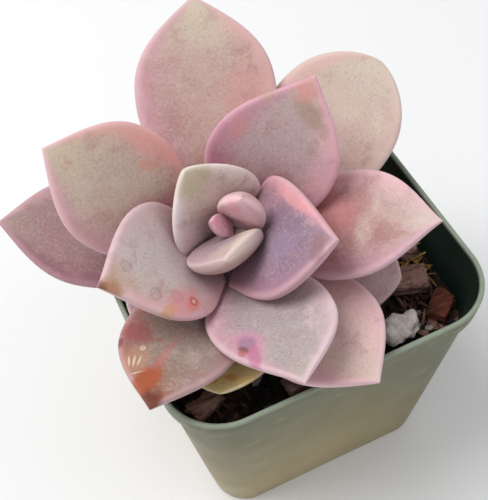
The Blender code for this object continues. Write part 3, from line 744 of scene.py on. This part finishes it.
# Blemishes: which leaf, counted from 0, how far to the left of its midline and up from its
# foot in mm, the half width and half length in mm, the turn in degrees, how far it is only
# a ring, how strongly it shows, how ragged its edge is, and its colour.
MARKS = (
    Mark(1, 1.2, 8.2, 1.4, 2.4, 20, 0.0, 0.50, 0.5, (240, 172, 178)),
    Mark(3, -0.3, 14.0, 5.0, 3.5, 0, 0.0, 0.50, 0.8, (196, 184, 148)),
    Mark(4, -1.3, 21.6, 2.1, 1.7, 20, 0.0, 0.55, 0.5, (146, 106, 104)),
    Mark(4, 7.6, 13.5, 1.7, 8.0, -20, 0.0, 0.55, 0.5, (240, 168, 168)),
    Mark(4, -1.5, 13.0, 3.0, 4.0, 0, 0.0, 0.35, 0.9, (166, 142, 176)),
    Mark(5, 4.6, 19.6, 1.3, 1.3, 0, 0.8, 0.40, 0.4, (156, 112, 132)),
    Mark(5, 6.2, 15.5, 1.3, 1.3, 0, 0.7, 0.45, 0.4, (160, 108, 130)),
    Mark(5, -1.5, 22.4, 1.2, 1.2, 0, 0.5, 0.40, 0.4, (158, 124, 140)),
    Mark(5, -4.6, 19.2, 1.0, 1.1, 0, 0.4, 0.30, 0.5, (164, 134, 146)),
    Mark(5, -3.8, 24.0, 0.9, 0.9, 0, 0.4, 0.30, 0.5, (164, 134, 146)),
    Mark(5, 1.0, 19.0, 0.9, 1.0, 0, 0.6, 0.25, 0.5, (170, 146, 152)),
    Mark(5, 7.4, 14.6, 3.0, 5.0, 8, 0.0, 0.55, 1.3, (228, 142, 144)),
    Mark(5, 8.6, 12.8, 1.6, 2.2, 5, 0.0, 0.60, 0.9, (232, 126, 116)),
    Mark(5, 8.0, 18.8, 1.3, 2.0, 10, 0.0, 0.65, 0.9, (222, 160, 108)),
    Mark(5, 8.1, 12.6, 0.9, 0.9, 0, 0.9, 0.75, 0.3, (178, 84, 78)),
    Mark(5, 8.1, 12.6, 0.35, 0.35, 0, 0.0, 0.85, 0.2, (244, 208, 176)),
    Mark(5, 1.6, 27.4, 2.6, 3.0, 20, 0.0, 0.80, 0.8, (168, 112, 66)),
    Mark(5, 0.2, 28.6, 1.8, 1.6, 0, 0.0, 0.85, 0.5, (134, 78, 56)),
    Mark(6, -2.2, 25.2, 4.6, 1.9, -30, 0.0, 0.60, 1.6, (168, 142, 118)),
    Mark(6, 0.4, 28.4, 2.2, 2.6, 0, 0.0, 0.60, 1.0, (226, 150, 150)),
    Mark(6, 6.6, 24.5, 2.6, 1.1, 40, 0.0, 0.50, 1.2, (186, 160, 132)),
    Mark(6, -5.2, 20.0, 1.2, 2.6, 10, 0.0, 0.35, 1.2, (166, 140, 122)),
    Mark(6, 8.0, 17.0, 2.0, 3.0, 0, 0.0, 0.45, 1.2, (214, 136, 134)),
    Mark(7, -5.6, 21.8, 3.4, 4.6, 20, 0.0, 0.60, 1.0, (214, 138, 170)),
    Mark(7, -6.0, 21.6, 2.0, 2.4, 0, 0.0, 0.70, 0.8, (152, 116, 142)),
    Mark(7, -6.4, 25.4, 1.6, 3.4, -20, 0.0, 0.65, 1.0, (192, 104, 142)),
    Mark(7, -7.2, 22.6, 0.9, 1.2, 30, 0.0, 0.80, 0.8, (118, 74, 58)),
    Mark(7, -7.9, 23.4, 0.8, 1.0, 30, 0.0, 0.70, 0.8, (186, 92, 86)),
    Mark(7, 1.0, 19.0, 0.7, 0.7, 0, 0.6, 0.30, 0.5, (148, 138, 142)),
    Mark(7, 3.2, 20.6, 0.8, 0.8, 0, 0.6, 0.30, 0.5, (148, 138, 142)),
    Mark(7, -1.6, 17.6, 0.7, 0.7, 0, 0.6, 0.30, 0.5, (148, 138, 142)),
    Mark(7, 1.4, 23.4, 0.8, 0.9, 0, 0.6, 0.25, 0.5, (148, 138, 142)),
    Mark(8, -9.2, 17.0, 2.6, 8.0, 0, 0.0, 0.45, 0.8, (236, 156, 152)),
    Mark(8, -5.8, 16.5, 1.3, 2.4, 20, 0.0, 0.45, 1.3, (222, 138, 122)),
    Mark(8, 2.0, 11.0, 4.5, 3.6, 0, 0.0, 0.50, 1.4, (176, 104, 108)),
    Mark(9, 1.5, 17.0, 5.5, 6.0, 0, 0.0, 0.45, 1.4, (196, 112, 112)),
    Mark(10, -7.0, 21.8, 3.0, 3.4, 10, 0.0, 0.65, 1.3, (164, 82, 84)),
    Mark(10, -9.0, 24.8, 0.9, 1.4, 10, 0.0, 0.75, 0.8, (126, 50, 48)),
    Mark(10, -3.2, 21.6, 0.7, 0.7, 0, 0.0, 0.60, 0.6, (176, 92, 90)),
    Mark(10, -5.0, 27.4, 2.6, 4.4, 0, 0.0, 0.50, 1.2, (198, 150, 118)),
    Mark(10, -1.4, 26.0, 1.2, 6.4, -6, 0.0, 0.50, 1.2, (196, 116, 112)),
    Mark(10, -5.2, 27.6, 0.22, 1.5, 14, 0.0, 0.80, 0.3, (236, 214, 188)),
    Mark(10, -4.5, 27.2, 0.20, 1.4, 4, 0.0, 0.80, 0.3, (236, 214, 188)),
    Mark(10, -5.9, 27.9, 0.20, 1.2, 24, 0.0, 0.80, 0.3, (236, 214, 188)),
    Mark(10, -3.6, 29.4, 0.16, 1.7, -50, 0.0, 0.85, 0.3, (240, 220, 200)),
    Mark(10, -5.0, 24.4, 0.5, 0.6, 0, 0.5, 0.80, 0.9, (238, 222, 196)),
    Mark(10, -2.2, 31.2, 2.2, 5.6, -12, 0.0, 0.92, 0.9, (172, 84, 44)),
    Mark(10, -0.2, 34.8, 2.4, 3.6, 0, 0.0, 0.95, 0.7, (112, 46, 26)),
    Mark(11, 0.5, 10.0, 6.0, 7.0, 0, 0.0, 0.45, 1.5, (160, 118, 102)),
    Mark(11, -7.0, 22.0, 5.0, 9.0, 0, 0.0, 0.45, 1.2, (220, 160, 152)),
    Mark(12, -0.8, 26.2, 1.4, 1.9, 20, 0.0, 0.65, 0.5, (222, 196, 220)),
    Mark(12, 1.6, 22.5, 0.22, 3.4, 24, 0.0, 0.60, 0.3, (236, 216, 214)),
    Mark(12, -4.0, 20.0, 2.2, 1.8, 0, 0.0, 0.40, 1.2, (224, 158, 166)),
    Mark(14, 2.0, 31.0, 6.0, 4.0, 0, 0.0, 0.35, 1.4, (216, 204, 184)),
    Mark(18, 1.5, 25.6, 1.3, 1.0, 0, 0.0, 0.75, 1.2, (214, 134, 66)),
    Mark(18, -1.4, 26.4, 1.0, 0.8, 0, 0.0, 0.65, 1.2, (214, 142, 78)),
    Mark(18, 4.0, 26.0, 3.6, 1.6, 0, 0.0, 0.50, 1.2, (206, 170, 92)),
)


def group_socket(tree, name, kind, out=False):
    """Adds a named socket to a node group, an input unless it is said to be an output."""
    side = "OUTPUT" if out else "INPUT"
    tree.interface.new_socket(name=name, in_out=side, socket_type="NodeSocket" + kind)


def leaf_skin_group():
    """The look all the leaves share: colours that run together, wax, dust and a rounded rim."""
    group = bpy.data.node_groups.new("leaf_skin", "ShaderNodeTree")
    for name in ("Foot", "Body", "Tip", "Left", "Right", "Rim"):
        group_socket(group, name, "Color")
    group_socket(group, "Bloom", "Float")
    group_socket(group, "Colour", "Color", out=True)
    group_socket(group, "Height", "Float", out=True)
    group_socket(group, "Roughness", "Float", out=True)
    given = add_node(group, "NodeGroupInput").outputs
    place = add_node(group, "ShaderNodeTexCoord").outputs["Object"]
    share = add_node(group, "ShaderNodeAttribute", attribute_name="leaf_share").outputs["Vector"]
    edge, along, across = add_node(group, "ShaderNodeSeparateXYZ", {0: share}).outputs
    spot = add_node(group, "ShaderNodeAttribute", attribute_name="leaf_place").outputs["Vector"]
    above_rim = add_node(group, "ShaderNodeSeparateXYZ", {0: spot}).outputs[2]
    broad = mottle(group, place, 80.0, 3.0, 0.55, 0.5)
    patchy = mottle(group, place, 230.0, 5.0, 0.60, 0.5)
    grain = mottle(group, place, 2100.0, 3.0, 0.6)
    fine = mottle(group, place, 4600.0, 2.0, 0.5)
    drift = arithmetic(group, "MULTIPLY", arithmetic(group, "SUBTRACT", broad, 0.5), 0.9)
    run = arithmetic(group, "ADD", along, drift)
    colour = mix_colour(group, remap(group, run, 0.10, 0.50), given["Foot"], given["Body"])
    colour = mix_colour(group, remap(group, run, 0.62, 1.0), colour, given["Tip"])
    stray = arithmetic(group, "MULTIPLY", arithmetic(group, "SUBTRACT", patchy, 0.5), 0.9)
    for name, sign in (("Left", 1.0), ("Right", -1.0)):
        reach = arithmetic(group, "ADD", arithmetic(group, "MULTIPLY", across, sign), stray)
        colour = mix_colour(group, remap(group, reach, 0.35, 1.05, 0.0, 0.90), colour, given[name])
    wax = arithmetic(group, "MULTIPLY", remap(group, patchy, 0.50, 0.68, 0.0, 0.30), given["Bloom"])
    colour = mix_colour(group, wax, colour, srgb(218, 206, 198))
    bare = remap(group, patchy, 0.46, 0.32, 0.0, 0.40)
    colour = mix_colour(group, bare, colour, srgb(184, 128, 132))
    colour = mix_colour(group, remap(group, edge, 0.84, 1.0, 0.0, 0.60), colour, given["Rim"])
    under = remap(group, above_rim, -0.15, -0.7, 0.0, 0.5)
    colour = mix_colour(group, under, colour, srgb(180, 146, 136))
    inner = remap(group, edge, 0.92, 0.70)
    dust = arithmetic(group, "MULTIPLY", remap(group, grain, 0.48, 0.72, 0.0, 0.24), inner)
    colour = mix_colour(group, dust, colour, srgb(226, 214, 206))
    pores = arithmetic(group, "MULTIPLY", remap(group, grain, 0.50, 0.30, 0.0, 0.26), inner)
    colour = mix_colour(group, pores, colour, srgb(136, 98, 92))
    sparkle = remap(group, fine, 0.58, 0.70, 0.0, 0.14)
    colour = mix_colour(group, sparkle, colour, srgb(232, 220, 214))
    coarse_height = arithmetic(group, "MULTIPLY", grain, 0.7)
    fine_height = arithmetic(group, "MULTIPLY", fine, 0.3)
    height = arithmetic(group, "ADD", coarse_height, fine_height)
    rough = remap(group, grain, 0.3, 0.7, 0.48, 0.66)
    add_node(group, "NodeGroupOutput", {"Colour": colour, "Height": height, "Roughness": rough})
    return group


def blemish_group():
    """One mark on a leaf: a ragged oval, or a ring, of another colour, on its upper face."""
    group = bpy.data.node_groups.new("blemish", "ShaderNodeTree")
    group_socket(group, "Below", "Color")
    group_socket(group, "Colour", "Color")
    group_socket(group, "Centre", "Vector")
    group_socket(group, "Size", "Vector")
    for name in ("Turn", "Ring", "Strength", "Ragged"):
        group_socket(group, name, "Float")
    group_socket(group, "Result", "Color", out=True)
    given = add_node(group, "NodeGroupInput").outputs
    place = add_node(group, "ShaderNodeTexCoord").outputs["Object"]
    spot = add_node(group, "ShaderNodeAttribute", attribute_name="leaf_place").outputs["Vector"]
    above_rim = add_node(group, "ShaderNodeSeparateXYZ", {0: spot}).outputs[2]

    def vector_step(operation, *inputs):
        return add_node(group, "ShaderNodeVectorMath", dict(enumerate(inputs)), operation=operation)

    flat = vector_step("MULTIPLY", spot, (1, 1, 0)).outputs[0]
    away = vector_step("SUBTRACT", flat, given["Centre"]).outputs[0]
    turn = {"Vector": away, "Angle": given["Turn"]}
    turned = add_node(group, "ShaderNodeVectorRotate", turn, rotation_type="Z_AXIS").outputs[0]
    shares = vector_step("DIVIDE", turned, given["Size"]).outputs[0]
    far = vector_step("LENGTH", shares).outputs["Value"]
    ragged = arithmetic(group, "SUBTRACT", mottle(group, place, 620.0, 5.0, 0.7), 0.5)
    ragged = arithmetic(group, "MULTIPLY", ragged, given["Ragged"])
    body = remap(group, arithmetic(group, "ADD", far, ragged), 1.1, 0.45)
    beyond = arithmetic(group, "SUBTRACT", 1.0, body)
    hoop = arithmetic(group, "MULTIPLY", body, arithmetic(group, "MULTIPLY", beyond, 4.0))
    blend = {0: given["Ring"], 2: body, 3: hoop}
    shape = add_node(group, "ShaderNodeMix", blend, data_type="FLOAT").outputs[0]
    shown = arithmetic(group, "MULTIPLY", shape, given["Strength"])
    shown = arithmetic(group, "MULTIPLY", shown, remap(group, above_rim, -0.2, 0.1))
    result = mix_colour(group, shown, given["Below"], given["Colour"])
    add_node(group, "NodeGroupOutput", {"Result": result})
    return group


LEAF_SKIN, BLEMISH = leaf_skin_group(), blemish_group()


def leaf_material(rank):
    """One leaf's skin: the shared look in its own colours, with its own blemishes."""
    made, tree, shader, place = new_material(f"leaf_skin_{rank + 1:02d}")
    skin = SKINS[rank]
    colours = zip(("Foot", "Body", "Tip", "Left", "Right", "Rim"), skin)
    given = {name: srgb(*value) for name, value in colours}
    look = add_node(tree, "ShaderNodeGroup", given | {"Bloom": skin.bloom}, node_tree=LEAF_SKIN)
    colour = look.outputs["Colour"]
    for mark in MARKS:
        if mark.leaf == rank:
            blemish = add_node(tree, "ShaderNodeGroup", {
                "Below": colour, "Colour": srgb(*mark.colour), "Centre": (mark.x, mark.y, 0),
                "Size": (mark.wide, mark.long, 1), "Turn": math.radians(mark.turn),
                "Ring": mark.ring, "Strength": mark.strength, "Ragged": mark.ragged,
            }, node_tree=BLEMISH)
            colour = blemish.outputs["Result"]
    roughness, height = look.outputs["Roughness"], look.outputs["Height"]
    finish_surface(tree, shader, colour, roughness, height, 0.00015, 0.55)
    shader.inputs["Sheen Weight"].default_value = 0.12
    shader.inputs["Sheen Roughness"].default_value = 0.5
    shader.inputs["Subsurface Weight"].default_value = 0.12
    shader.inputs["Subsurface Radius"].default_value = (0.003, 0.0012, 0.001)
    return made


above = []
for rank, leaf in enumerate(LEAVES):
    rings, unders = blade(leaf, rank)
    rings = press_clear(rings, unders, above)
    shape = leaf_shape(rings, leaf)
    swollen = shape.copy()
    swollen.normal_update()
    for vert in swollen.verts:
        vert.co = vert.co + vert.normal * PRESS_GAP
    above.append(BVHTree.FromBMesh(swollen))
    swollen.free()
    name = f"leaf_{rank + 1:02d}"
    piece = add_piece(name + "_blade", shape, leaf_material(rank), [name])
    smooth = piece.modifiers.new("rounding", "SUBSURF")
    smooth.levels = smooth.render_levels = 1

# ---------------------------------------------------------------------------------------
# The room. A plain pale floor, one big softbox high on the left, a weak fill from the
# right, and a camera that looks down on the rosette from close by.

FLOOR_HALF = 2.0
AIM = Vector((-0.0070, -0.0024, 0.060))
CAMERA_HEADING, CAMERA_ELEVATION, CAMERA_ROLL = -110.46, 54.16, -5.5
CAMERA_DISTANCE = 0.1571

floor_shape = bmesh.new()
bmesh.ops.create_grid(floor_shape, x_segments=1, y_segments=1, size=FLOOR_HALF)
floor_data = bpy.data.meshes.new("floor")
floor_shape.to_mesh(floor_data)
floor_shape.free()
floor_finish, tree, shader, place = new_material("floor_paint")
shader.inputs["Base Color"].default_value = (0.93, 0.93, 0.93, 1.0)
shader.inputs["Roughness"].default_value = 0.9
floor_data.materials.append(floor_finish)
floor = bpy.data.objects.new("floor", floor_data)
bpy.context.scene.collection.objects.link(floor)

world = bpy.data.worlds.new("room")
world.use_nodes = True
world.node_tree.nodes["Background"].inputs["Color"].default_value = (0.97, 0.98, 1.0, 1.0)
world.node_tree.nodes["Background"].inputs["Strength"].default_value = 0.5
bpy.context.scene.world = world


def look_back(heading, elevation, roll=0.0):
    """The direction to a camera or lamp at a heading and an elevation from the aim, and the turn
    that makes it look back at the aim. All three are in degrees."""
    away = Vector((
        math.cos(math.radians(elevation)) * math.cos(math.radians(heading)),
        math.cos(math.radians(elevation)) * math.sin(math.radians(heading)),
        math.sin(math.radians(elevation)),
    ))
    return away, away.to_track_quat("Z", "Y") @ Quaternion((0, 0, 1), math.radians(roll))


for name, heading, elevation, size, power, distance in (
    ("softbox", 150.0, 62.0, 0.5, 3.6, 0.7),
    ("fill", -30.0, 35.0, 0.6, 0.8, 0.9),
):
    lamp_data = bpy.data.lights.new(name, "AREA")
    lamp_data.shape = "DISK"
    lamp_data.size = size
    lamp_data.energy = power
    lamp = bpy.data.objects.new(name, lamp_data)
    away, turn = look_back(heading, elevation)
    lamp.location = AIM + away * distance
    lamp.rotation_mode = "QUATERNION"
    lamp.rotation_quaternion = turn
    bpy.context.scene.collection.objects.link(lamp)

camera_data = bpy.data.cameras.new("camera")
camera_data.lens = 61.5
camera_data.sensor_width = 36.0
camera_data.clip_start = 0.01
camera = bpy.data.objects.new("camera", camera_data)
away, turn = look_back(CAMERA_HEADING, CAMERA_ELEVATION, CAMERA_ROLL)
camera.location = AIM + away * CAMERA_DISTANCE
camera.rotation_mode = "QUATERNION"
camera.rotation_quaternion = turn
bpy.context.scene.collection.objects.link(camera)
bpy.context.scene.camera = camera
bpy.context.scene.view_settings.view_transform = "Standard"
